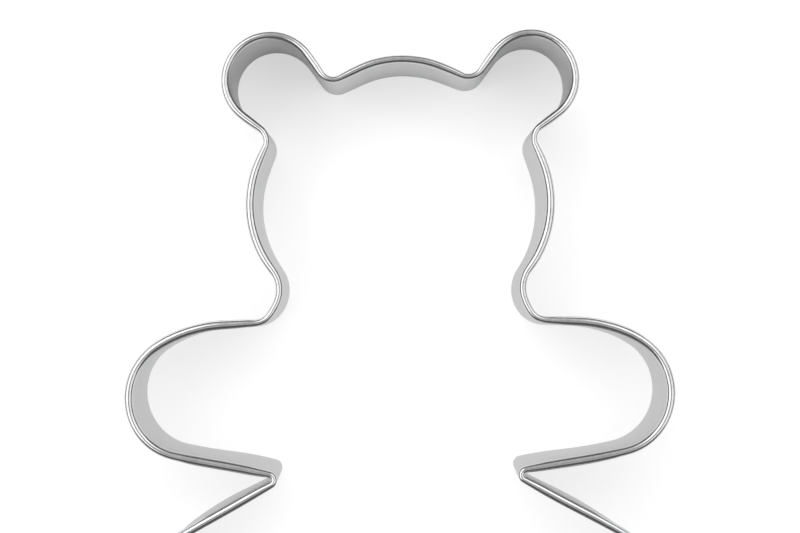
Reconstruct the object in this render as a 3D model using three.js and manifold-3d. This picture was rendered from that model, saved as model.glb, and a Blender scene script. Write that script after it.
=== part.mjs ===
// Bear-shaped pastry cutter. One stainless strip with a folded safety rim is bent round the outline
// and closed by a spot-welded lap on the inner side of one leg. Millimetres, +Z up, rim on top.

import * as THREE from "three";
import { mergeVertices } from "three/addons/utils/BufferGeometryUtils.js";
import Module from "manifold-3d";

// Strip and its folded rim
const SHEET = 0.3; // thickness of the strip
const HEIGHT = 25; // from the cutting edge to the top of the rim
const HEM_DEPTH = 2.2; // how far the folded edge reaches down the outside
const HEM_OPEN = 0.77; // gap inside the fold on a straight run
const HEM_NIP = 0.12; // gap inside the fold where a concave bend squeezes it
const HEM_DRAW = 5; // convex bend radius that draws the fold halfway shut
const HEM_SPRING = 2; // length over which the fold springs open again after a bend

// Outline of the inner face on the left half, from the crown down to the crotch. A pin is the radius
// that the strip is bent round. A heading is the way a straight run points, in degrees from +X.
const CROWN_HEADING = 180;
const CROWN_PIN = 14.5;
const CROWN_FLANK = 3.3;
const CROWN_FLANK_HEADING = 203;
const EAR_NOTCH_PIN = 2.2;
const EAR_INNER = 3.3;
const EAR_INNER_HEADING = 127;
const EAR_PIN = 6.1;
const EAR_OUTER = 3.3;
const EAR_OUTER_HEADING = 322;
const CHEEK_NOTCH_PIN = 2.1;
const CHEEK_TOP = 2.5;
const CHEEK_TOP_HEADING = 248;
const CHEEK_PIN = 15.5;
const JAW = 1;
const JAW_HEADING = 304;
const NECK_PIN = 4.5;
const ARM_TOP = 4.2;
const ARM_TOP_HEADING = 183;
const ARM_PIN = 17.8;
const HAND_START_HEADING = 216;
const HAND_PIN = 8.2;
const ARM_UNDERSIDE = 14.2;
const ARM_UNDERSIDE_HEADING = 347;
const ARMPIT_PIN = 0.5;
const LEG_TOP = 14.5;
const LEG_TOP_HEADING = 209;
const FOOT_PIN = 12;
const INNER_LEG_RISE = 26; // slope of the inner leg, which sets how deep the crotch is
const CROTCH_PIN = 3.5;

// Lap seam on the left inner leg
const LAP = 8; // overlap of the two ends
const LAP_GAP = 0.15; // clearance between the two layers
const SEAM_MARGIN = 3.5; // straight strip left between the lap and the crotch bend
const SEAM_EASE = 8; // length over which the outer end moves out by one layer
const RIM_BUTT = 0.3; // gap where the two ends of the rim meet
const UNDER_RIM = 0.3; // clearance between the plain tongue and the folded rim above it
const WELD_DIAMETER = 2.6;
const WELD_FIT = 0.04; // clearance round a weld
const WELD_DISH = 0.1; // how far the electrode presses the middle of a weld in
const WELD_DISH_SHARE = 0.7; // part of a weld's radius that is pressed in flat

// Fineness of the facets
const BEND_STEP = THREE.MathUtils.degToRad(12);
const RUN_STEP = 2.5;
const FOLD_STEPS = 6;
const WELD_SIDES = 24;

const wasm = await Module();
wasm.setup();

// Folded rim: its thickness follows the bend that it goes round

const HEM_PINCHED = 2 * SHEET + HEM_NIP;
const HEM_FREE = 2 * SHEET + HEM_OPEN;

function hemOnBend(turn, radius) {
  if (turn < 0) return HEM_PINCHED;
  return HEM_PINCHED + ((HEM_FREE - HEM_PINCHED) * radius) / (radius + HEM_DRAW);
}

function hemOnRun(from, to, along, length) {
  const plain = THREE.MathUtils.lerp(from, to, along / length);
  const opened = (1 - Math.exp(-along / HEM_SPRING)) * (1 - Math.exp((along - length) / HEM_SPRING));
  return THREE.MathUtils.lerp(plain, HEM_FREE, opened);
}

// Outline: a bend turns the strip, and a run carries it straight on

function bend(pin, fromHeading, toHeading) {
  const turn = THREE.MathUtils.degToRad(toHeading - fromHeading);
  const radius = turn < 0 ? pin + HEM_PINCHED : pin;
  const hem = hemOnBend(turn, radius);
  return { turn, radius, length: Math.abs(turn) * radius, hemStart: hem, hemEnd: hem };
}

function run(length, hemStart = HEM_FREE, hemEnd = HEM_FREE) {
  return { turn: 0, length, hemStart, hemEnd };
}

// A run's rim opens between the two bends beside it.
function joinRuns(moves) {
  return moves.map((move, i) => {
    if (move.turn) return move;
    return run(move.length, moves[i - 1].hemEnd, moves[i + 1].hemStart);
  });
}

// Stations along the inner face, with the heading and the rim's thickness at each.
function walk(moves, startHeading) {
  let x = 0;
  let y = 0;
  let heading = startHeading;
  let travelled = 0;
  const stations = [{ x, y, heading, travelled, hem: moves[0].hemStart }];
  for (const move of moves) {
    const start = { x, y, heading, travelled };
    const steps = Math.ceil(move.turn ? Math.abs(move.turn) / BEND_STEP : move.length / RUN_STEP);
    for (let step = 1; step <= steps; step++) {
      const share = step / steps;
      const along = share * move.length;
      heading = start.heading + share * move.turn;
      travelled = start.travelled + along;
      if (move.turn) {
        const side = Math.sign(move.turn) * move.radius;
        x = start.x + side * (Math.sin(heading) - Math.sin(start.heading));
        y = start.y - side * (Math.cos(heading) - Math.cos(start.heading));
      } else {
        x = start.x + along * Math.cos(heading);
        y = start.y + along * Math.sin(heading);
      }
      const hem = move.turn ? move.hemStart : hemOnRun(move.hemStart, move.hemEnd, along, move.length);
      stations.push({ x, y, heading, travelled, hem });
    }
  }
  return stations;
}

const INNER_LEG_HEADING = 360 + INNER_LEG_RISE;
const crown = bend(CROWN_PIN, CROWN_HEADING, CROWN_FLANK_HEADING);
const crotch = bend(CROTCH_PIN, INNER_LEG_HEADING, 360);
const crownToFoot = [
  crown,
  run(CROWN_FLANK),
  bend(EAR_NOTCH_PIN, CROWN_FLANK_HEADING, EAR_INNER_HEADING),
  run(EAR_INNER),
  bend(EAR_PIN, EAR_INNER_HEADING, EAR_OUTER_HEADING),
  run(EAR_OUTER),
  bend(CHEEK_NOTCH_PIN, EAR_OUTER_HEADING, CHEEK_TOP_HEADING),
  run(CHEEK_TOP),
  bend(CHEEK_PIN, CHEEK_TOP_HEADING, JAW_HEADING),
  run(JAW),
  bend(NECK_PIN, JAW_HEADING, ARM_TOP_HEADING),
  run(ARM_TOP),
  bend(ARM_PIN, ARM_TOP_HEADING, HAND_START_HEADING),
  bend(HAND_PIN, HAND_START_HEADING, ARM_UNDERSIDE_HEADING),
  run(ARM_UNDERSIDE),
  bend(ARMPIT_PIN, ARM_UNDERSIDE_HEADING, LEG_TOP_HEADING),
  run(LEG_TOP),
  bend(FOOT_PIN, LEG_TOP_HEADING, INNER_LEG_HEADING),
];

// The inner leg is as long as it takes to reach the crotch bend on the middle line.
const footEnd = walk(joinRuns(crownToFoot), THREE.MathUtils.degToRad(CROWN_HEADING)).at(-1);
const legSlope = THREE.MathUtils.degToRad(INNER_LEG_RISE);
const innerLeg = -(footEnd.x + crotch.radius * Math.sin(legSlope)) / Math.cos(legSlope);
const seamAt = innerLeg - SEAM_MARGIN - LAP;

// The strip starts at the lap, goes up the right half and comes back down the left half to the lap.
const route = joinRuns([
  crotch,
  crotch,
  run(innerLeg),
  ...[...crownToFoot].reverse(),
  ...crownToFoot,
]);
const stations = walk(
  [
    run(innerLeg - seamAt, HEM_FREE, crotch.hemStart),
    ...route,
    run(seamAt - RIM_BUTT, crownToFoot.at(-1).hemEnd, HEM_FREE),
  ],
  legSlope,
);

// The outer end of the strip moves out by one layer before it passes the other end.
const LAYER = SHEET + LAP_GAP;
const easeStart = stations.at(-1).travelled - SEAM_EASE;
for (const station of stations) {
  const share = (station.travelled - easeStart) / SEAM_EASE;
  station.out = LAYER * THREE.MathUtils.smoothstep(share, 0, 1);
}

// Strip solid: the section is a folded sheet with two faces, and rings of it are joined along the route

const TONGUE_TOP = HEIGHT - HEM_DEPTH - UNDER_RIM;

function foldArc(centre, radius) {
  const corners = [];
  for (let step = 0; step <= FOLD_STEPS; step++) {
    const angle = Math.PI * (1 - step / FOLD_STEPS);
    const out = centre.x + radius * Math.cos(angle);
    const up = centre.y + radius * Math.sin(angle);
    corners.push(new THREE.Vector2(out, up));
  }
  return corners;
}

// Both faces run from the cutting edge up the wall, over the fold and down to the end of the hem.
function section(hem) {
  const centre = new THREE.Vector2(hem / 2, HEIGHT - hem / 2);
  const hemEnd = HEIGHT - HEM_DEPTH;
  const dough = [
    new THREE.Vector2(0, 0),
    new THREE.Vector2(0, TONGUE_TOP),
    ...foldArc(centre, hem / 2),
    new THREE.Vector2(hem, hemEnd),
  ];
  const back = [
    new THREE.Vector2(SHEET, 0),
    new THREE.Vector2(SHEET, TONGUE_TOP),
    ...foldArc(centre, hem / 2 - SHEET),
    new THREE.Vector2(hem - SHEET, hemEnd),
  ];
  return { dough, back };
}

const points = [];
const triangles = [];

function addRail(station, corners) {
  return corners.map((corner) => {
    const away = station.out + corner.x;
    points.push(station.x + away * Math.sin(station.heading));
    points.push(station.y - away * Math.cos(station.heading));
    points.push(corner.y);
    return points.length / 3 - 1;
  });
}

function addRing(station) {
  const { dough, back } = section(station.hem);
  return { dough: addRail(station, dough), back: addRail(station, back) };
}

function stretch(ring, from, to) {
  return { dough: ring.dough.slice(from, to), back: ring.back.slice(from, to) };
}

function skin(ring, nextRing) {
  const loop = [...ring.back, ...[...ring.dough].reverse()];
  const nextLoop = [...nextRing.back, ...[...nextRing.dough].reverse()];
  loop.forEach((corner, i) => {
    const beside = (i + 1) % loop.length;
    triangles.push(corner, nextLoop[i], nextLoop[beside]);
    triangles.push(corner, nextLoop[beside], loop[beside]);
  });
}

function cap(ring, facesForward) {
  for (let i = 1; i < ring.back.length; i++) {
    const [low, high] = [ring.back[i - 1], ring.back[i]];
    const [lowAcross, highAcross] = [ring.dough[i - 1], ring.dough[i]];
    if (facesForward) triangles.push(low, highAcross, high, low, lowAcross, highAcross);
    else triangles.push(low, high, highAcross, low, highAcross, lowAcross);
  }
}

const rings = stations.map(addRing);
cap(rings[0], false);
rings.slice(1).forEach((ring, i) => skin(rings[i], ring));

// At the far end the rim stops, and the wall below it goes on as a plain tongue.
const WALL_CORNERS = 2;
const farEnd = stations.at(-1);
const tongueLength = RIM_BUTT + LAP;
const tongueEnd = {
  ...farEnd,
  x: farEnd.x + tongueLength * Math.cos(farEnd.heading),
  y: farEnd.y + tongueLength * Math.sin(farEnd.heading),
};
const { dough: tongueDough, back: tongueBack } = stretch(section(farEnd.hem), 0, WALL_CORNERS);
const tongueRing = { dough: addRail(tongueEnd, tongueDough), back: addRail(tongueEnd, tongueBack) };
cap(stretch(rings.at(-1), WALL_CORNERS - 1), true);
skin(stretch(rings.at(-1), 0, WALL_CORNERS), tongueRing);
cap(tongueRing, true);

const stripGeometry = new THREE.BufferGeometry();
stripGeometry.setAttribute("position", new THREE.Float32BufferAttribute(points, 3));
stripGeometry.setIndex(triangles);

// Spot welds: each fills a round seat through both layers of the lap

const WELD_NAMES = ["weld_lower", "weld_middle", "weld_upper"];
const STACK = 2 * SHEET + LAP_GAP;
const seamStart = stations[0];
const seamOut = new THREE.Vector3(Math.sin(seamStart.heading), -Math.cos(seamStart.heading), 0);
const seamAlong = new THREE.Vector3(Math.cos(seamStart.heading), Math.sin(seamStart.heading), 0);
const weldTurn = new THREE.Quaternion().setFromUnitVectors(new THREE.Vector3(0, 1, 0), seamOut);

function weldPlace(i) {
  const place = new THREE.Vector3(seamStart.x, seamStart.y, 0);
  place.addScaledVector(seamAlong, LAP / 2);
  place.addScaledVector(seamOut, STACK / 2);
  place.z = (TONGUE_TOP * (i + 0.5)) / WELD_NAMES.length;
  return place;
}

function weldGeometry() {
  const radius = WELD_DIAMETER / 2 - WELD_FIT;
  const dishRadius = WELD_DISH_SHARE * radius;
  const profile = [
    new THREE.Vector2(0, WELD_DISH - STACK / 2),
    new THREE.Vector2(dishRadius, WELD_DISH - STACK / 2),
    new THREE.Vector2(radius, -STACK / 2),
    new THREE.Vector2(radius, STACK / 2),
    new THREE.Vector2(dishRadius, STACK / 2 - WELD_DISH),
    new THREE.Vector2(0, STACK / 2 - WELD_DISH),
  ];
  return new THREE.LatheGeometry(profile, WELD_SIDES);
}

function solidOf(geometry) {
  const bare = geometry.clone();
  bare.deleteAttribute("normal");
  bare.deleteAttribute("uv");
  const merged = mergeVertices(bare);
  const vertProperties = new Float32Array(merged.attributes.position.array);
  const triVerts = new Uint32Array(merged.index.array);
  return new wasm.Manifold(new wasm.Mesh({ numProp: 3, vertProperties, triVerts }));
}

function geometryOf(solid) {
  const mesh = solid.getMesh();
  const geometry = new THREE.BufferGeometry();
  geometry.setAttribute("position", new THREE.BufferAttribute(mesh.vertProperties, 3));
  geometry.setIndex(new THREE.BufferAttribute(mesh.triVerts, 1));
  return geometry;
}

function weldSeat(i) {
  const seat = new THREE.CylinderGeometry(WELD_DIAMETER / 2, WELD_DIAMETER / 2, 2 * STACK, WELD_SIDES);
  seat.applyQuaternion(weldTurn);
  seat.translate(...weldPlace(i));
  return solidOf(seat);
}

let stripSolid = solidOf(stripGeometry);
WELD_NAMES.forEach((name, i) => {
  stripSolid = stripSolid.subtract(weldSeat(i));
});

// Assembly: the cutting edge stands on z = 0, and the outline is centred on the origin

const steel = new THREE.MeshStandardMaterial({ color: 0xc9cacb, roughness: 0.28, metalness: 1 });
const weldMetal = new THREE.MeshStandardMaterial({ color: 0xa9a49c, roughness: 0.45, metalness: 1 });

const cutter = new THREE.Group();
const band = new THREE.Mesh(geometryOf(stripSolid), steel);
band.name = "cutter_band";
cutter.add(band);
WELD_NAMES.forEach((name, i) => {
  const weld = new THREE.Mesh(weldGeometry(), weldMetal);
  weld.name = name;
  weld.position.copy(weldPlace(i));
  weld.quaternion.copy(weldTurn);
  cutter.add(weld);
});

const middle = new THREE.Box3().setFromObject(band).getCenter(new THREE.Vector3());
cutter.position.set(-middle.x, -middle.y, 0);

export default cutter;
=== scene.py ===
# %% [markdown]
# # A bear-shaped pastry cutter
#
# The real cutter is one bright stainless strip, 25 mm tall and 0.3 mm thick. Its upper edge is folded over
# into a safety rim, the strip is bent round pins into the outline of a sitting bear, and three spot welds
# hold the lap that closes it. The imported CAD model is the frame that everything here is built on, so it is
# loaded first.

# %% Load the frame
import math
from collections import namedtuple

import bmesh
import bpy
from mathutils import Matrix, Vector, noise


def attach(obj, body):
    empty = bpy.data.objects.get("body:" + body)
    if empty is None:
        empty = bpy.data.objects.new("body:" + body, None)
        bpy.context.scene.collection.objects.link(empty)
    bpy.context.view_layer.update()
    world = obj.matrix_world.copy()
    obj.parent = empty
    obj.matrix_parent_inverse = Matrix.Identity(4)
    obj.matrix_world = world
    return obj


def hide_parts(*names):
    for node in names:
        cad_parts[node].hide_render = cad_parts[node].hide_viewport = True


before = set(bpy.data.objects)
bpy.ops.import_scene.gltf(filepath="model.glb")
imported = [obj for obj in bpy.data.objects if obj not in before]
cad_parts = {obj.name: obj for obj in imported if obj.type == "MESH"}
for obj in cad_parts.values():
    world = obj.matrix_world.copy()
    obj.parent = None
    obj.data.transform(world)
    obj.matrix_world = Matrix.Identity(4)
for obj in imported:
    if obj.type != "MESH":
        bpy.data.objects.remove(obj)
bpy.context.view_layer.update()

print("CAD nodes:", sorted(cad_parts))

# %% [markdown]
# ## The camera
#
# The photograph looks straight down on the standing cutter. Walls show inside the rim and lean towards one
# point a little below the middle of the picture, so the camera hangs over that point and is tilted a touch
# towards the head. The scale of the rim and the width of the walls give its height and its long lens.

# %% Camera above the cutter
MM = 0.001
PHOTO_WIDTH = 800
FOCAL_PIXELS = 2817
SENSOR_WIDTH = 36.0
CAMERA_PLACE = Vector((-0.15, 7.6, 435.9)) * MM
CAMERA_TILT = math.radians(0.921)
CAMERA_ROLL = math.radians(-0.36)

camera_data = bpy.data.cameras.new("camera")
camera_data.sensor_fit = "HORIZONTAL"
camera_data.sensor_width = SENSOR_WIDTH
camera_data.lens = FOCAL_PIXELS * SENSOR_WIDTH / PHOTO_WIDTH
camera = bpy.data.objects.new("camera", camera_data)
bpy.context.scene.collection.objects.link(camera)
turned = Matrix.Rotation(CAMERA_ROLL, 4, "Z") @ Matrix.Rotation(CAMERA_TILT, 4, "X")
camera.matrix_world = Matrix.Translation(CAMERA_PLACE) @ turned
bpy.context.scene.camera = camera
print(f"camera {CAMERA_PLACE.z:.3f} m up, lens {camera_data.lens:.1f} mm")

# %% [markdown]
# ## The route of the strip
#
# A bending machine sees the outline as a row of bends with straight runs between them. Each bend of the left
# half has the pin that the strip is bent round, the heading of the strip after it, in degrees from +X, and
# the straight run that follows. A curve object could follow traced points instead, but bends and runs keep
# the clean arcs of the real tool.

# %% Sizes of the strip, in millimetres
SHEET = 0.3
HEIGHT = 25.0
HEM_DEPTH = 2.2
HEM_FREE = 1.37
HEM_PINCHED = 0.72
HEM_DRAW = 5.0
HEM_SPRING = 1.4
LAP = 8.0
LAP_GAP = 0.15
SEAM_MARGIN = 3.5
SEAM_EASE = 8.0
RIM_BUTT = 0.3
UNDER_RIM = 0.3
CROWN_TOP = 44.084
CROTCH_PIN = 3.5
INNER_LEG_RISE = 26
TONGUE_TOP = HEIGHT - HEM_DEPTH - UNDER_RIM

# %% Bends and runs of the left half, from the crown to the foot
Bend = namedtuple("Bend", "name pin heading run")
CROWN_HEADING = 180
LEFT_HALF = [
    Bend("crown", 14.5, 203, 3.3),
    Bend("ear notch", 2.2, 127, 3.3),
    Bend("ear", 6.1, 322, 3.3),
    Bend("cheek notch", 2.1, 248, 2.5),
    Bend("cheek", 15.5, 304, 1.0),
    Bend("neck", 4.5, 183, 4.2),
    Bend("arm", 17.8, 216, 0.0),
    Bend("hand", 8.2, 347, 14.2),
    Bend("armpit", 0.5, 209, 14.5),
    Bend("foot", 12.0, 360 + INNER_LEG_RISE, 0.0),
]
print(len(LEFT_HALF), "bends on each half")

# %% Moves: a bend turns the strip, a run carries it straight on
Move = namedtuple("Move", "name turn radius length hem_start hem_end")
# How thick the rim is on the bends that the photograph shows
BEND_RIMS = {
    "crown": 1.2, "ear notch": 0.9, "ear": 1.15, "cheek notch": 0.88, "cheek": 1.25,
    "neck": 1.0, "arm": 1.4, "hand": 1.17, "armpit": 0.85,
}


def hem_on_bend(turn, radius):
    """Outside the photograph: a concave bend pinches the rim, and a tight convex one draws it shut."""
    if turn < 0:
        return HEM_PINCHED
    return HEM_PINCHED + (HEM_FREE - HEM_PINCHED) * radius / (radius + HEM_DRAW)


def bend_move(name, pin, turn_degrees):
    turn = math.radians(turn_degrees)
    radius = pin + HEM_PINCHED if turn < 0 else pin
    hem = BEND_RIMS.get(name, hem_on_bend(turn, radius))
    return Move(name, turn, radius, abs(turn) * radius, hem, hem)


def run_move(name, length, hem_start=HEM_FREE, hem_end=HEM_FREE):
    return Move(name, 0.0, 0.0, length, hem_start, hem_end)


def half_moves():
    moves, heading = [], CROWN_HEADING
    for bend in LEFT_HALF:
        moves.append(bend_move(bend.name, bend.pin, bend.heading - heading))
        if bend.run:
            moves.append(run_move("after " + bend.name, bend.run))
        heading = bend.heading
    return moves


# %% Where a row of moves ends
def outward_of(heading):
    """The level direction from the dough side of the strip to its back."""
    return Vector((math.sin(heading), -math.cos(heading), 0.0))


def forward_of(heading):
    return Vector((math.cos(heading), math.sin(heading), 0.0))


def bend_centre(place, heading, move):
    return place - outward_of(heading) * math.copysign(move.radius, move.turn)


def after_moves(moves, place, heading):
    for move in moves:
        if move.turn:
            centre = bend_centre(place, heading, move)
            place = centre + Matrix.Rotation(move.turn, 3, "Z") @ (place - centre)
            heading += move.turn
        else:
            place = place + forward_of(heading) * move.length
    return place, heading


# %% The whole route, from the lap round the outline and back to the lap
crotch = bend_move("crotch", CROTCH_PIN, -INNER_LEG_RISE)
leg_slope = math.radians(INNER_LEG_RISE)
left_half = half_moves()
right_half = left_half[::-1]
foot_end, _ = after_moves(left_half, Vector(), math.radians(CROWN_HEADING))
inner_leg = -(foot_end.x + crotch.radius * math.sin(leg_slope)) / math.cos(leg_slope)
seam_at = inner_leg - SEAM_MARGIN - LAP
inner_legs = [run_move("lap", inner_leg - seam_at), crotch, crotch, run_move("right inner leg", inner_leg)]
route = [
    *inner_legs,
    *[move._replace(name="right " + move.name) for move in right_half],
    *[move._replace(name="left " + move.name) for move in left_half],
    run_move("left inner leg", seam_at - RIM_BUTT),
]
for i, move in enumerate(route):
    if not move.turn:
        before = route[i - 1].hem_end if i else HEM_FREE
        after = route[i + 1].hem_start if i + 1 < len(route) else HEM_FREE
        route[i] = move._replace(hem_start=before, hem_end=after)

to_crown, _ = after_moves(route[: len(inner_legs) + len(right_half)], Vector(), leg_slope)
seam_start = Vector((0.0, CROWN_TOP, 0.0)) - to_crown
route_length = sum(move.length for move in route)
print(f"{len(route)} moves, {route_length:.1f} mm of strip, lap starts at {seam_start.xy[:]}")

# %% [markdown]
# ## Sweeping the folded sheet
#
# The strip is sheet metal, so it is drawn as a sheet: one chain of edges up the dough face of the wall, over
# the fold and down to the end of the hem. Spin carries that chain along the route, turning it about the
# centre of each bend or pushing it straight on. Solidify then gives the sheet its 0.3 mm, as on the real
# strip, and a small bevel takes the sharpness off the sheared edges.

# %% The section of the strip, drawn in the XZ plane with X outwards
EDGE_ROW = 0.2  # a row this near each sheared edge keeps its bevel even
WALL_ROWS = [0.0, EDGE_ROW, 0.8, 3.0, 6.0, 10.0, 14.0, 18.0, 21.5, TONGUE_TOP - EDGE_ROW, TONGUE_TOP]
FOLD_TOP_ROW = HEIGHT - HEM_FREE / 2
FOLD_STEPS = 20
HEM_END = HEIGHT - HEM_DEPTH
HEM_MIDDLE = 23.6
HEM_ROWS = [HEM_MIDDLE, HEM_END + EDGE_ROW, HEM_END]
FOLD_FIRST = len(WALL_ROWS)
FOLD_LAST = FOLD_FIRST + FOLD_STEPS


def only_verts(geometry):
    return [item for item in geometry if isinstance(item, bmesh.types.BMVert)]


def draw_section(bm, row):
    chain = [bm.verts.new((0.0, 0.0, WALL_ROWS[0]))]

    def climb(height):
        made = bmesh.ops.extrude_vert_indiv(bm, verts=chain[-1:])
        chain.extend(made["verts"])
        chain[-1].co.z = height

    for height in [*WALL_ROWS[1:], FOLD_TOP_ROW]:
        climb(height)
    fold_centre = (HEM_FREE / 2, 0.0, FOLD_TOP_ROW)
    for _ in range(FOLD_STEPS):
        made = bmesh.ops.spin(
            bm, geom=chain[-1:], cent=fold_centre, axis=(0, 1, 0), angle=math.pi / FOLD_STEPS, steps=1
        )
        chain.extend(only_verts(made["geom_last"]))
    for height in HEM_ROWS:
        climb(height)
    for i, vert in enumerate(chain):
        vert[row] = i
    return chain + bm.edges[:]


# %% Sweep the section along the route
Station = namedtuple("Station", "ring place heading along hem move")
BEND_STEP = math.radians(4)
RUN_STEP = 0.8


def hem_on_run(move, along):
    """Between two bends the folded rim springs open again."""
    plain = move.hem_start + (move.hem_end - move.hem_start) * along / move.length
    opened = 1 - math.exp(-along / HEM_SPRING)
    opened *= 1 - math.exp((along - move.length) / HEM_SPRING)
    return plain + (HEM_FREE - plain) * opened


def sweep(bm, row, ring, place, heading, moves, along=0.0):
    """Spins the ring round each bend, or pushes it along each run, and keeps the ring at every step."""
    stations, size = [], len(only_verts(ring))
    for move in moves:
        steps = math.ceil(abs(move.turn) / BEND_STEP if move.turn else move.length / RUN_STEP)
        centre = bend_centre(place, heading, move) if move.turn else place
        push = Vector() if move.turn else forward_of(heading) * move.length / steps
        count = len(bm.verts)
        made = bmesh.ops.spin(
            bm, geom=ring, cent=centre, axis=(0, 0, 1), angle=move.turn, dvec=push, steps=steps,
            use_merge=False,
        )
        ring = made["geom_last"]
        bm.verts.ensure_lookup_table()
        fresh = bm.verts[count:]
        start, start_heading, start_along = place, heading, along
        for step in range(1, steps + 1):
            share = step / steps
            place = centre + Matrix.Rotation(move.turn * share, 3, "Z") @ (start - centre) + push * step
            heading = start_heading + move.turn * share
            along = start_along + move.length * share
            hem = move.hem_start if move.turn else hem_on_run(move, move.length * share)
            verts = sorted(fresh[(step - 1) * size : step * size], key=lambda vert: vert[row])
            stations.append(Station(verts, place, heading, along, hem, move.name))
    return ring, stations


strip = bmesh.new()
row = strip.verts.layers.int.new("row")
first_ring = draw_section(strip, row)
stand = Matrix.Translation(seam_start) @ Matrix.Rotation(leg_slope - math.pi / 2, 4, "Z")
bmesh.ops.transform(strip, matrix=stand, verts=strip.verts[:])
lap_station = Station(only_verts(first_ring), seam_start, leg_slope, 0.0, HEM_FREE, "lap")
last_ring, swept = sweep(strip, row, first_ring, seam_start, leg_slope, route)
stations = [lap_station, *swept]
stray = max((station.ring[0].co - station.place).length for station in stations)
print(f"{len(stations)} rings, {len(strip.faces)} faces, stray {stray:.6f} mm")

# %% [markdown]
# At the far end the rim stops, and only the wall below it goes on, as a plain tongue behind the other end of
# the strip. The same spin carries it, with the rows of the rim left out.

# %% The plain tongue of the lap
rim_end = stations[-1]
wall_verts = [vert for vert in only_verts(last_ring) if vert[row] < FOLD_FIRST]
wall_edges = dict.fromkeys(edge for vert in wall_verts for edge in vert.link_edges)
wall_edges = [edge for edge in wall_edges if all(vert in wall_verts for vert in edge.verts)]
tongue_moves = [run_move("tongue", RIM_BUTT + LAP)]
_, tongue = sweep(
    strip, row, wall_verts + wall_edges, rim_end.place, rim_end.heading, tongue_moves, rim_end.along
)
stations += tongue
print(len(tongue), "rings of tongue")

# %% [markdown]
# Bending changes the rim: it is squeezed thinner in a concave bend and springs open on a straight run.
# So each ring's fold is scaled about the top of the wall to the thickness that it has there, with a faint
# waviness, because a rolled rim is never quite even.

# %% Press the rim to its thickness
HEM_BLEND = 1.6
BLEND_TAIL = 3  # blends away from a station where the mean stops
WAVE_LENGTH = 6.0
WAVE_HEIGHT = 0.03


def eased_hem(station):
    """The rim can't change its thickness at once, so it takes a mean over a few millimetres."""
    total, weights = 0.0, 0.0
    for before, here in zip(stations, stations[1:]):
        away = (here.along - station.along) / HEM_BLEND
        if abs(away) < BLEND_TAIL:
            weight = math.exp(-away * away) * (here.along - before.along)
            total += weight * here.hem
            weights += weight
    return total / weights


hems = [eased_hem(station) for station in stations]
for station, hem in zip(stations, hems):
    wave = WAVE_HEIGHT * noise.noise(Vector((station.along / WAVE_LENGTH, 0.0, 0.0)))
    share = max(HEM_PINCHED, hem + wave) / HEM_FREE
    top = Matrix.Translation(station.place + Vector((0.0, 0.0, HEIGHT)))
    press = top @ Matrix.Scale(share, 4) @ top.inverted()
    for vert in station.ring[FOLD_FIRST : FOLD_LAST + 1]:
        vert.co = press @ vert.co
    for vert in station.ring[FOLD_LAST + 1 :]:
        vert.co += outward_of(station.heading) * HEM_FREE * (share - 1)
print(f"rim from {min(hems):.2f} to {max(hems):.2f} mm thick")

# %% [markdown]
# No strip is bent exactly alike on both sides, and its walls don't stand quite upright: beside the tight bends
# they spring a little, and the photograph shows the back of the wall outside the rim on the tops of the legs.
# So the rings are shifted by what the photograph shows, the rim and the cutting edge each by its own few
# tenths of a millimetre, and the rim is drawn into a tighter corner where the neck turns into the arm. One
# shear matrix does it all. The same matrix moves the outer end of the lap out by one layer.

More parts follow.
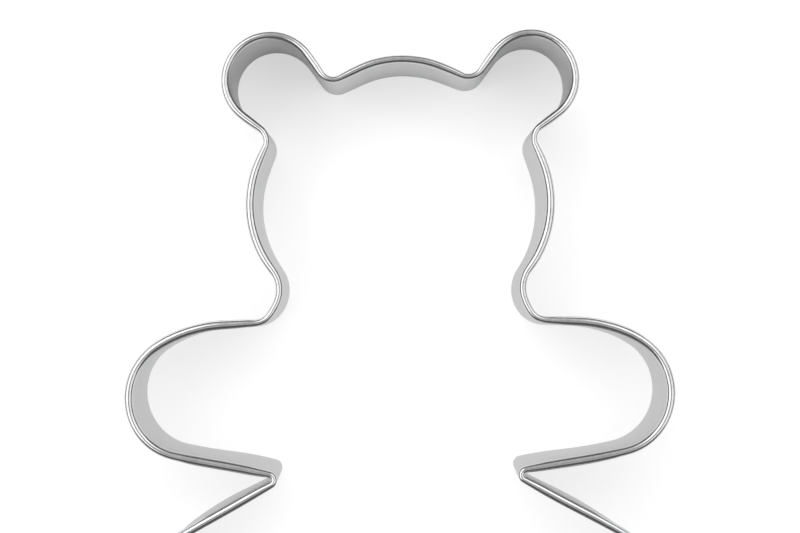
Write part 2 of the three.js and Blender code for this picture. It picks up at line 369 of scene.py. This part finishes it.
# %% How far the strip stands off the plain route, to the right and up in the picture, in millimetres
Nudge = namedtuple("Nudge", "along rim edge")
NUDGES = [
    Nudge(69.1, (0.00, 0.00), (0.00, 0.00)),
    Nudge(74.1, (-0.72, 0.26), (-0.43, 0.78)),
    Nudge(79.1, (-0.91, 0.25), (-0.38, 1.21)),
    Nudge(84.1, (-1.24, 0.24), (-0.89, 0.87)),
    Nudge(89.1, (-1.29, 0.78), (-1.12, 1.09)),
    Nudge(94.1, (-1.01, 0.74), (-0.92, 0.99)),
    Nudge(99.1, (-0.69, 0.27), (-0.61, 0.16)),
    Nudge(104.1, (-0.54, 0.13), (-0.52, 0.02)),
    Nudge(109.1, (-0.50, 0.05), (-0.54, 0.08)),
    Nudge(114.1, (-0.53, 0.06), (-0.52, 0.07)),
    Nudge(119.1, (-0.52, 0.12), (-0.56, 0.06)),
    Nudge(124.1, (-0.29, 0.19), (-0.36, 0.16)),
    Nudge(129.1, (-0.32, -0.16), (-0.39, -0.18)),
    Nudge(134.1, (-0.33, -0.06), (-0.44, -0.15)),
    Nudge(139.1, (-0.22, -0.03), (-0.40, -0.21)),
    Nudge(144.1, (0.07, 0.05), (-0.13, -0.12)),
    Nudge(149.1, (0.03, 0.22), (-0.25, 0.15)),
    Nudge(154.1, (-0.01, 0.22), (-0.47, 0.19)),
    Nudge(159.1, (-0.02, 0.20), (-0.56, 0.12)),
    Nudge(164.1, (0.00, 0.22), (-0.47, 0.09)),
    Nudge(169.1, (0.10, 0.34), (-0.07, 0.28)),
    Nudge(174.1, (0.08, 0.32), (0.04, 0.39)),
    Nudge(179.1, (0.05, 0.17), (0.08, 0.38)),
    Nudge(184.1, (0.04, 0.07), (0.17, 0.42)),
    Nudge(189.1, (0.14, 0.10), (0.26, 0.51)),
    Nudge(194.1, (0.29, 0.05), (0.39, 0.39)),
    Nudge(199.1, (0.18, 0.10), (0.29, 0.37)),
    Nudge(204.1, (0.12, 0.06), (0.22, 0.26)),
    Nudge(209.1, (0.06, -0.08), (0.11, 0.01)),
    Nudge(214.1, (0.06, -0.12), (0.08, -0.05)),
    Nudge(219.1, (0.13, -0.25), (0.15, -0.17)),
    Nudge(224.1, (0.25, -0.29), (0.30, -0.21)),
    Nudge(229.1, (0.24, -0.09), (0.25, 0.03)),
    Nudge(234.1, (0.27, 0.01), (0.23, 0.17)),
    Nudge(239.1, (0.18, 0.02), (0.14, 0.22)),
    Nudge(244.1, (0.10, 0.17), (0.13, 0.32)),
    Nudge(249.1, (0.07, 0.27), (0.08, 0.34)),
    Nudge(254.1, (-0.01, 0.14), (-0.01, 0.15)),
    Nudge(259.1, (0.03, 0.05), (0.14, 0.04)),
    Nudge(264.1, (-0.01, 0.05), (0.17, 0.10)),
    Nudge(269.1, (0.01, 0.10), (0.23, 0.21)),
    Nudge(274.1, (0.08, 0.14), (0.21, 0.24)),
    Nudge(279.1, (-0.04, -0.02), (-0.02, 0.01)),
    Nudge(284.1, (0.07, -0.28), (0.07, -0.24)),
    Nudge(289.1, (0.15, -0.28), (0.13, -0.20)),
    Nudge(294.1, (0.15, -0.40), (0.08, -0.25)),
    Nudge(299.1, (0.03, -0.21), (-0.07, 0.02)),
    Nudge(304.1, (0.08, -0.15), (0.04, 0.08)),
    Nudge(309.1, (0.02, -0.22), (0.05, 0.00)),
    Nudge(314.1, (-0.07, -0.24), (0.03, 0.01)),
    Nudge(319.1, (-0.10, -0.20), (-0.04, -0.07)),
    Nudge(324.1, (-0.09, 0.04), (-0.08, 0.16)),
    Nudge(329.1, (-0.07, 0.35), (-0.03, 0.86)),
    Nudge(334.1, (-0.07, 0.12), (-0.31, 0.56)),
    Nudge(339.1, (0.00, -0.21), (-0.46, 0.61)),
    Nudge(344.1, (0.00, -0.18), (-0.69, 1.05)),
    Nudge(349.1, (0.01, -0.17), (-0.47, 0.69)),
    Nudge(354.1, (0.00, 0.00), (0.00, 0.00)),
]
NUDGE_REACH = 5.0
NO_NUDGE = 1e-6  # weight of no shift at all, felt only far from every mark
CORNER_DEPTH = 0.16
CORNER_WIDTH = 2.2
CORNER_PLACE = 2.5  # from the arm's end of the neck

# %% Shift the rings and ease the lap
def smooth(share):
    share = min(max(share, 0.0), 1.0)
    return share * share * (3 - 2 * share)


def nudge_at(along):
    """A mean of the nudges near this place on the strip, and none far from all of them."""
    rim, edge, weights = Vector((0.0, 0.0)), Vector((0.0, 0.0)), NO_NUDGE
    for nudge in NUDGES:
        weight = math.exp(-(((along - nudge.along) / NUDGE_REACH) ** 2))
        rim += weight * Vector(nudge.rim)
        edge += weight * Vector(nudge.edge)
        weights += weight
    return rim / weights, edge / weights


def corner_at(along):
    """How far the rim is drawn in where the neck turns into the arm. Beside that it is let out."""
    drawn = 0.0
    for corner in corners:
        away = ((along - corner) / CORNER_WIDTH) ** 2
        drawn += CORNER_DEPTH * (1 - 2 * away) * math.exp(-away)
    return drawn


corners = [
    min(station.along for station in stations if station.move == "right neck") + CORNER_PLACE,
    max(station.along for station in stations if station.move == "left neck") - CORNER_PLACE,
]
for station in stations:
    rim, edge = nudge_at(station.along)
    rim -= outward_of(station.heading).xy * corner_at(station.along)
    layer = (SHEET + LAP_GAP) * smooth((station.along - rim_end.along + SEAM_EASE) / SEAM_EASE)
    shear = Matrix.Translation(edge.to_3d() + outward_of(station.heading) * layer)
    shear[0][2], shear[1][2] = (rim - edge) / HEIGHT
    for vert in station.ring:
        vert.co = shear @ vert.co
largest = max(abs(shift) for nudge in NUDGES for shift in nudge.rim + nudge.edge)
print(f"{len(NUDGES)} nudges, the largest {largest:.2f} mm")

# %% Give the sheet its thickness and soften the sheared edges
EDGE_ROUND = 0.05
SHARP_EDGE = math.radians(50)
WALL_ROW = 3  # a row on the plain wall, to tell the two faces of the sheet apart

bmesh.ops.recalc_face_normals(strip, faces=strip.faces[:])
strip.normal_update()
sample = stations[len(stations) // 2]
wall_face = sample.ring[WALL_ROW].link_faces[0]
if wall_face.normal.dot(outward_of(sample.heading)) > 0:
    bmesh.ops.reverse_faces(strip, faces=strip.faces[:])
bmesh.ops.solidify(strip, geom=strip.faces[:], thickness=SHEET)
bmesh.ops.recalc_face_normals(strip, faces=strip.faces[:])
sheared = [edge for edge in strip.edges if edge.calc_face_angle(0.0) > SHARP_EDGE]
bmesh.ops.bevel(
    strip, geom=sheared, offset=EDGE_ROUND, offset_type="OFFSET", segments=2, profile=0.5,
    affect="EDGES", material=-1, clamp_overlap=True,
)
low = Vector(min(vert.co[i] for vert in strip.verts) for i in range(3))
high = Vector(max(vert.co[i] for vert in strip.verts) for i in range(3))
open_edges = sum(not edge.is_manifold for edge in strip.edges)
print(f"strip {low[:]} to {high[:]} mm, {len(strip.faces)} faces, {open_edges} open edges")
print(f"volume {strip.calc_volume():.0f} cubic mm")

# %% [markdown]
# ## Finishes
#
# Shader sums are easier to read as Python, so one small class wraps a socket: adding or multiplying two of
# them adds a Math node, and its node method makes every other node.

# %% A wire of the shader
class Wire:
    def __init__(self, tree, socket=None):
        self.tree = tree
        self.socket = socket

    def node(self, kind, settings=None, inputs=None, output=0):
        made = self.tree.nodes.new(kind)
        for name, value in (settings or {}).items():
            setattr(made, name, value)
        for name, value in (inputs or {}).items():
            if isinstance(value, Wire):
                self.tree.links.new(value.socket, made.inputs[name])
            else:
                made.inputs[name].default_value = value
        return Wire(self.tree, made.outputs[output]) if made.outputs else made

    def maths(self, operation, first, second=0.0):
        return self.node("ShaderNodeMath", {"operation": operation}, {0: first, 1: second})

    def __add__(self, other):
        return self.maths("ADD", self, other)

    def __sub__(self, other):
        return self.maths("SUBTRACT", self, other)

    def __rsub__(self, other):
        return self.maths("SUBTRACT", other, self)

    def __mul__(self, other):
        return self.maths("MULTIPLY", self, other)

    __radd__ = __add__
    __rmul__ = __mul__


def new_finish(name):
    material = bpy.data.materials.new(name)
    material.use_nodes = True
    material.node_tree.nodes.clear()
    return material, Wire(material.node_tree)


def ramp(wire, value, low, high):
    """0 where the value is below low, 1 above high, and a soft step between."""
    limits = {"Value": value, "From Min": low, "From Max": high}
    return wire.node("ShaderNodeMapRange", {"interpolation_type": "SMOOTHSTEP"}, limits)


def blend(wire, share, first, second):
    return wire.node("ShaderNodeMix", {"data_type": "RGBA"}, {0: share, 6: first, 7: second}, 2)


def streaks(wire, place, scale, detail):
    """Noise squeezed or stretched along each axis by scale, in features per metre."""
    spread = wire.node("ShaderNodeMapping", None, {"Vector": place, "Scale": scale})
    return wire.node("ShaderNodeTexNoise", None, {"Vector": spread, "Scale": 1.0, "Detail": detail})


# %% [markdown]
# ### Bright rolled stainless
#
# The strip has the fine grain that rolling leaves along it. Noise that is stretched level and squeezed in
# height draws lines that follow the strip round every bend, on the wall and over the rim alike. The grain
# changes colour, roughness and relief a little, cloudy patches come from handling, a few hairlines are
# scratches, and the cutting edge is rubbed brighter. The wall is satin, and the rim is burnished by the rolls
# that folded it, so it alone mirrors the lights as thin lines. Welding leaves a straw tint round the spots, so
# the places of the welds are needed first.

# %% Where the welds sit
WELD_COUNT = 3
weld_along = forward_of(leg_slope) * LAP / 2
weld_out = outward_of(leg_slope) * (SHEET + LAP_GAP / 2)
weld_heights = [TONGUE_TOP * (i + 0.5) / WELD_COUNT for i in range(WELD_COUNT)]
weld_places = [seam_start + weld_along + weld_out + Vector((0, 0, z)) for z in weld_heights]
print("welds at heights", [round(z, 2) for z in weld_heights], "mm")

# %% Stainless strip
GRAIN_SCALE = (350, 350, 14000)
FLECK_SCALE = (1500, 1500, 9000)
CLOUD_SCALE = (90, 90, 160)
HAIRLINE_SCALE = (120, 120, 700)
ROLLED_FROM, ROLLED_TO = 0.0236, 0.0242
RUBBED_FROM, RUBBED_TO = 0.0001, 0.0009
TINT_FROM, TINT_TO = 0.0012, 0.0036
STEEL_DARK = (0.52, 0.522, 0.53, 1)
STEEL_LIGHT = (0.66, 0.66, 0.662, 1)
STEEL_RUBBED = (0.74, 0.74, 0.74, 1)
STEEL_EDGE = (0.86, 0.86, 0.86, 1)
STRAW = (0.60, 0.50, 0.35, 1)

stainless, wire = new_finish("bright_stainless")
place = wire.node("ShaderNodeTexCoord", output=3)
height = wire.node("ShaderNodeSeparateXYZ", None, {"Vector": place}, 2)
grain = streaks(wire, place, GRAIN_SCALE, 3.0)
flecks = streaks(wire, place, FLECK_SCALE, 2.0)
clouds = streaks(wire, place, CLOUD_SCALE, 3.0)
hairlines = streaks(wire, place, HAIRLINE_SCALE, 1.0)
scratch = 1 - ramp(wire, wire.maths("ABSOLUTE", hairlines - 0.5), 0.001, 0.006)
rubbed = 1 - ramp(wire, height + (clouds - 0.5) * 0.0008, RUBBED_FROM, RUBBED_TO)
rolled = ramp(wire, height + (clouds - 0.5) * 0.0006, ROLLED_FROM, ROLLED_TO)

near_weld = None
for weld_place in weld_places:
    distance = wire.node(
        "ShaderNodeVectorMath", {"operation": "DISTANCE"}, {0: place, 1: weld_place * MM}, "Value"
    )
    near_weld = distance if near_weld is None else wire.maths("MINIMUM", near_weld, distance)
tint = 1 - ramp(wire, near_weld + (clouds - 0.5) * 0.002, TINT_FROM, TINT_TO)

tone = ramp(wire, grain * 0.55 + flecks * 0.45, 0.3, 0.7)
colour = blend(wire, tone, STEEL_DARK, STEEL_LIGHT)
colour = blend(wire, rubbed * 0.7 + scratch * 0.15, colour, STEEL_RUBBED)
colour = blend(wire, tint * 0.55, colour, STRAW)
satin = 0.30 + grain * 0.08 + clouds * 0.06
burnished = 0.07 + grain * 0.06 + clouds * 0.05
roughness = satin + (burnished - satin) * rolled + scratch * 0.05 + tint * 0.06
relief = grain * 0.6 + flecks * 0.4 - scratch * 0.3
bump = wire.node("ShaderNodeBump", None, {"Height": relief, "Strength": 0.12, "Distance": 0.00002})
steel = wire.node(
    "ShaderNodeBsdfPrincipled",
    None,
    {
        "Base Color": colour,
        "Metallic": 1.0,
        "Roughness": roughness,
        "Specular Tint": STEEL_EDGE,
        "Normal": bump,
    },
)
wire.node("ShaderNodeOutputMaterial", None, {"Surface": steel})
print(stainless.name, len(stainless.node_tree.nodes), "nodes")

# %% [markdown]
# ### Weld metal
#
# A spot weld is pressed and melted, so it is duller and rougher than the strip, with a grainy face and warm
# patches where the heat stayed longest.

# %% Weld metal
GRIT_SCALE = (6000, 6000, 6000)
PATCH_SCALE = (900, 900, 900)
WELD_DARK = (0.38, 0.365, 0.34, 1)
WELD_LIGHT = (0.55, 0.54, 0.52, 1)
WELD_WARM = (0.47, 0.38, 0.26, 1)

weld_metal, wire = new_finish("spot_weld_metal")
place = wire.node("ShaderNodeTexCoord", output=3)
grit = streaks(wire, place, GRIT_SCALE, 4.0)
patches = streaks(wire, place, PATCH_SCALE, 2.0)
colour = blend(wire, ramp(wire, grit, 0.3, 0.7), WELD_DARK, WELD_LIGHT)
colour = blend(wire, ramp(wire, patches, 0.45, 0.7) * 0.5, colour, WELD_WARM)
bump = wire.node("ShaderNodeBump", None, {"Height": grit, "Strength": 0.3, "Distance": 0.00003})
weld_shader = wire.node(
    "ShaderNodeBsdfPrincipled",
    None,
    {"Base Color": colour, "Metallic": 1.0, "Roughness": 0.32 + grit * 0.2, "Normal": bump},
)
wire.node("ShaderNodeOutputMaterial", None, {"Surface": weld_shader})
print(weld_metal.name, len(weld_metal.node_tree.nodes), "nodes")

# %% [markdown]
# ## Pieces
#
# The strip and the welds become objects here. A Boolean modifier cuts the three weld seats through both
# layers of the lap, because a round hole through a flat wall is what it does best, and its result becomes
# the strip's own mesh. Each piece takes the place of its CAD node and rides on the one body of the part.

# %% Make a piece from a bmesh in millimetres
def make_object(bm, name, finish):
    bmesh.ops.scale(bm, vec=(MM,) * 3, verts=bm.verts[:])
    mesh = bpy.data.meshes.new(name)
    bm.to_mesh(mesh)
    bm.free()
    mesh.materials.append(finish)
    made = bpy.data.objects.new(name, mesh)
    bpy.context.scene.collection.objects.link(made)
    return made


def settle(piece, node):
    piece.data.shade_smooth()
    piece.data.set_sharp_from_angle(angle=SHARP_EDGE)
    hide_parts(node)
    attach(piece, "root")
    triangles = sum(len(face.vertices) - 2 for face in piece.data.polygons)
    print(f"{piece.name}: {triangles} triangles, stands for {node}")


# %% The strip with its weld seats
SEAT_RADIUS = 1.3
SEAT_DEPTH = 2.0
SEAT_SEGMENTS = 48
weld_turn = outward_of(leg_slope).to_track_quat("Z", "Y").to_matrix().to_4x4()

band = make_object(strip, "steel_strip", stainless)
for weld_place in weld_places:
    seat = bmesh.new()
    bmesh.ops.create_cone(
        seat, cap_ends=True, segments=SEAT_SEGMENTS, radius1=SEAT_RADIUS, radius2=SEAT_RADIUS,
        depth=SEAT_DEPTH, matrix=Matrix.Translation(weld_place) @ weld_turn,
    )
    cutter = make_object(seat, "seat_cutter", stainless)
    drill = band.modifiers.new("seat", "BOOLEAN")
    drill.operation = "DIFFERENCE"
    drill.solver = "EXACT"
    drill.object = cutter
    drilled = bpy.data.meshes.new_from_object(band.evaluated_get(bpy.context.evaluated_depsgraph_get()))
    band.modifiers.clear()
    band.data = drilled
    bpy.data.objects.remove(cutter)
band.data.name = "steel_strip"
settle(band, "cutter_band")

# %% [markdown]
# A spot weld shows on both sides of the lap as a shallow dish with a low raised lip, where the electrode
# pressed the soft metal outwards. Half of its profile is drawn from the middle of the outer face to the
# middle of the inner face and spun once round its axis.

# %% Spot welds
WELD_HALF = SHEET + LAP_GAP / 2
WELD_PROFILE = [
    (0.0, -0.10), (0.35, -0.098), (0.70, -0.085), (0.95, -0.055), (1.12, -0.01),
    (1.22, 0.03), (1.31, 0.045), (1.40, 0.03), (1.46, -0.005), (1.42, -0.03), (1.27, -0.05),
]
WELD_TURNS = 48
WELD_NODES = ["weld_lower", "weld_middle", "weld_upper"]

for node, weld_place in zip(WELD_NODES, weld_places):
    spot = bmesh.new()
    face = [(radius, WELD_HALF + rise) for radius, rise in WELD_PROFILE]
    outline = face + [(radius, -up) for radius, up in reversed(face)]
    chain = [spot.verts.new((radius, 0.0, up)) for radius, up in outline]
    for pair in zip(chain, chain[1:]):
        spot.edges.new(pair)
    bmesh.ops.spin(
        spot, geom=spot.verts[:] + spot.edges[:], cent=(0, 0, 0), axis=(0, 0, 1), angle=math.tau,
        steps=WELD_TURNS, use_merge=True,
    )
    bmesh.ops.remove_doubles(spot, verts=spot.verts[:], dist=0.001)
    bmesh.ops.recalc_face_normals(spot, faces=spot.faces[:])
    bmesh.ops.transform(spot, matrix=Matrix.Translation(weld_place) @ weld_turn, verts=spot.verts[:])
    settle(make_object(spot, node.replace("weld", "spot_weld"), weld_metal), node)

# %% [markdown]
# ## Studio
#
# The cutter stands on a white table between two large soft lights, with a weaker one beyond the head
# and little from the front. A white floor carries the soft shade, and painted shade is added inside the head:
# less of the floor's white is its own colour there, and least of all in what the metal mirrors, which paints
# shade into the reflections on the walls there. That share is only for camera, glossy and transmitted rays:
# the background stays white without more light on the metal. Far away the floor is painted grey for the
# metal, a painted falloff of light, and the burnished rim mirrors that painted grey as its thin dark lines.
# The metal mirrors the softboxes and the two dim panels, and the fills light only the table.

# %% Floor
FLOOR_SIZE = 3.0
# Painted pool of light: the floor is pale near the cutter and painted grey far away, a painted falloff of
# light
PAINTED_LIGHT_POOL_CENTRE = (0, 0.15, 0)
PAINTED_LIGHT_POOL_INSIDE, PAINTED_LIGHT_POOL_OUTSIDE = 0.20, 0.50
# Painted shade: the floor shows less of its own white inside the head than round the legs, so it looks shaded
# there
PAINTED_SHADE_GLOW_HEAD = 0.52
PAINTED_SHADE_GLOW_LEGS = 0.72
PAINTED_SHADE_GLOW_FROM, PAINTED_SHADE_GLOW_TO = -0.015, 0.04
# Painted shade in reflections: glossy rays see far less of the floor's own white inside the head, which
# darkens the ear and crown walls
PAINTED_SHADE_MIRROR_HEAD = 0.15
PAINTED_SHADE_MIRROR_LEGS = 0.85
PAINTED_SHADE_MIRROR_FROM, PAINTED_SHADE_MIRROR_TO = 0.015, 0.047
WHITE = (1, 1, 1, 1)
TABLE_NEAR_PAINTED_POOL = (0.94, 0.94, 0.94, 1)
TABLE_FAR_PAINTED_FALLOFF = (0.5, 0.5, 0.5, 1)
MIRROR_FAR_PAINTED_FALLOFF = (0.4, 0.4, 0.4, 1)

floor_mesh = bmesh.new()
bmesh.ops.create_grid(floor_mesh, x_segments=1, y_segments=1, size=FLOOR_SIZE / MM / 2)
floor_finish, wire = new_finish("white_table_painted_shade")
place = wire.node("ShaderNodeTexCoord", output=3)
reach = wire.node("ShaderNodeVectorMath", {"operation": "DISTANCE"}, {0: place, 1: PAINTED_LIGHT_POOL_CENTRE}, "Value")
# far is the painted falloff: 0 in the pool and 1 far away
far = ramp(wire, reach, PAINTED_LIGHT_POOL_INSIDE, PAINTED_LIGHT_POOL_OUTSIDE)
ahead = wire.node("ShaderNodeSeparateXYZ", None, {"Vector": place}, 1)
camera_ray = wire.node("ShaderNodeLightPath", output="Is Camera Ray")
seen = camera_ray + wire.node("ShaderNodeLightPath", output="Is Glossy Ray")
seen = seen + wire.node("ShaderNodeLightPath", output="Is Transmission Ray")
# The table's colour, and for glossy rays its own glow, are painted grey far away, and the rim mirrors that
# grey as thin dark lines
matt = wire.node("ShaderNodeBsdfDiffuse", None, {"Color": blend(wire, far, TABLE_NEAR_PAINTED_POOL, TABLE_FAR_PAINTED_FALLOFF)})
glow_colour_painted_falloff = blend(wire, far * (1 - camera_ray), WHITE, MIRROR_FAR_PAINTED_FALLOFF)
own = wire.node("ShaderNodeEmission", None, {"Color": glow_colour_painted_falloff, "Strength": 1.0})
# Painted shade on the floor: its own white is lowered across the head
painted_shade_glow = PAINTED_SHADE_GLOW_LEGS + (PAINTED_SHADE_GLOW_HEAD - PAINTED_SHADE_GLOW_LEGS) * ramp(wire, ahead, PAINTED_SHADE_GLOW_FROM, PAINTED_SHADE_GLOW_TO)
# Painted shade for glossy rays: the floor that the head's walls mirror is darkened
mirrored = PAINTED_SHADE_MIRROR_LEGS + (PAINTED_SHADE_MIRROR_HEAD - PAINTED_SHADE_MIRROR_LEGS) * ramp(wire, ahead, PAINTED_SHADE_MIRROR_FROM, PAINTED_SHADE_MIRROR_TO)
# level is the floor's own white share: painted lower inside the head for the camera, and lower still for
# glossy rays
level = painted_shade_glow + (mirrored - painted_shade_glow) * (1 - camera_ray)
share = wire.maths("MINIMUM", seen, 1.0) * level + camera_ray * far * (1 - level)
table = wire.node("ShaderNodeMixShader", None, {0: share, 1: matt, 2: own})
wire.node("ShaderNodeOutputMaterial", None, {"Surface": table})
floor = make_object(floor_mesh, "floor", floor_finish)
print("floor", FLOOR_SIZE, "m wide")

# %% Soft lights round the table
# Angles in degrees, round from +X and up from the table, sizes in metres, and a radiance of 1 is white
Panel = namedtuple("Panel", "name azimuth elevation distance width height radiance mirrored")
PANELS = [
    Panel("left_softbox", 170, 49, 0.6, 0.85, 0.6, 1.7, True),
    Panel("right_softbox", 10, 49, 0.6, 0.85, 0.6, 1.2, True),
    Panel("back_softbox", 90, 54, 0.7, 0.8, 0.76, 0.52, True),
    Panel("front_panel", 270, 70, 0.8, 0.6, 0.36, 0.46, True),
    Panel("top_panel", 90, 89, 0.9, 0.5, 0.3, 0.25, True),
    Panel("left_fill", 180, 60, 0.9, 0.5, 0.5, 2.8, False),
    Panel("right_fill", 0, 60, 0.9, 0.5, 0.5, 2.2, False),
    Panel("back_fill", 90, 68, 0.9, 0.5, 0.35, 4.6, False),
]
for panel in PANELS:
    light = bpy.data.lights.new(panel.name, "AREA")
    light.shape = "RECTANGLE"
    light.size = panel.width
    light.size_y = panel.height
    light.energy = math.pi * panel.width * panel.height * panel.radiance
    lamp = bpy.data.objects.new(panel.name, light)
    azimuth, elevation = math.radians(panel.azimuth), math.radians(panel.elevation)
    flat = math.cos(elevation)
    towards = Vector((math.cos(azimuth) * flat, math.sin(azimuth) * flat, math.sin(elevation)))
    lamp.location = towards * panel.distance
    lamp.rotation_euler = towards.to_track_quat("Z", "Y").to_euler()
    lamp.visible_camera = False
    lamp.visible_glossy = panel.mirrored
    bpy.context.scene.collection.objects.link(lamp)
    print(f"{panel.name}: {light.energy:.2f} W")

# %% Dim room, white to the camera
ROOM = 0.14
world = bpy.data.worlds.new("room")
world.use_nodes = True
world.node_tree.nodes.clear()
wire = Wire(world.node_tree)
camera_ray = wire.node("ShaderNodeLightPath", output="Is Camera Ray")
backdrop = blend(wire, camera_ray, (ROOM, ROOM, ROOM, 1), WHITE)
room_light = wire.node("ShaderNodeBackground", None, {"Color": backdrop, "Strength": 1.0})
wire.node("ShaderNodeOutputWorld", None, {"Surface": room_light})
bpy.context.scene.world = world
bpy.context.scene.view_settings.view_transform = "Standard"
print("room level", ROOM)
